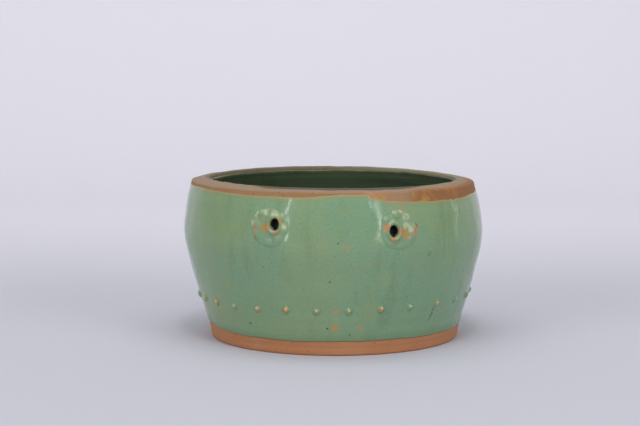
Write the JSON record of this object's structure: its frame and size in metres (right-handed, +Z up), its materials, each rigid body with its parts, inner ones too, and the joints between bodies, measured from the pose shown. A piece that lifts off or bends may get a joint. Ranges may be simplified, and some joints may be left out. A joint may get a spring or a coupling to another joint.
{
  "type": "glazed stoneware brush pot",
  "caption": "Wide drum-shaped stoneware brush pot with a green glaze, bare clay rim and foot, pierced bosses on the front and a row of clay pellets low on the wall.",
  "frame": {"origin": "centre of the foot ring, in the plane the pot stands on", "axes": "+Z up along the axis of the pot; the two bosses face -Y"},
  "size_m": [0.1816, 0.1816, 0.0968],
  "materials": {
    "bare_clay": "matte fired clay, tan to brown",
    "base_clay": "matte fired clay",
    "green_glaze": "glossy green glaze",
    "liner_glaze": "glossy darker green glaze",
    "boss_glaze": "thin green glaze over clay relief",
    "pellet_glaze": "thin green glaze, worn to tan clay on top"
  },
  "bodies": {
    "root": {"clay_wall": "bare_clay", "clay_base": "base_clay", "outer_glaze": "green_glaze", "inner_glaze": "liner_glaze", "boss_left": "boss_glaze", "boss_right": "boss_glaze", "pellet_01": "pellet_glaze", "pellet_02": "pellet_glaze", "pellet_03": "pellet_glaze", "pellet_04": "pellet_glaze", "pellet_05": "pellet_glaze", "pellet_06": "pellet_glaze", "pellet_07": "pellet_glaze", "pellet_08": "pellet_glaze", "pellet_09": "pellet_glaze", "pellet_10": "pellet_glaze", "pellet_11": "pellet_glaze", "pellet_12": "pellet_glaze", "pellet_13": "pellet_glaze", "pellet_14": "pellet_glaze", "pellet_15": "pellet_glaze", "pellet_16": "pellet_glaze", "pellet_17": "pellet_glaze", "pellet_18": "pellet_glaze", "pellet_19": "pellet_glaze", "pellet_20": "pellet_glaze", "pellet_21": "pellet_glaze", "pellet_22": "pellet_glaze", "pellet_23": "pellet_glaze", "pellet_24": "pellet_glaze", "pellet_25": "pellet_glaze", "pellet_26": "pellet_glaze", "pellet_27": "pellet_glaze", "pellet_28": "pellet_glaze"}
  },
  "joints": []
}
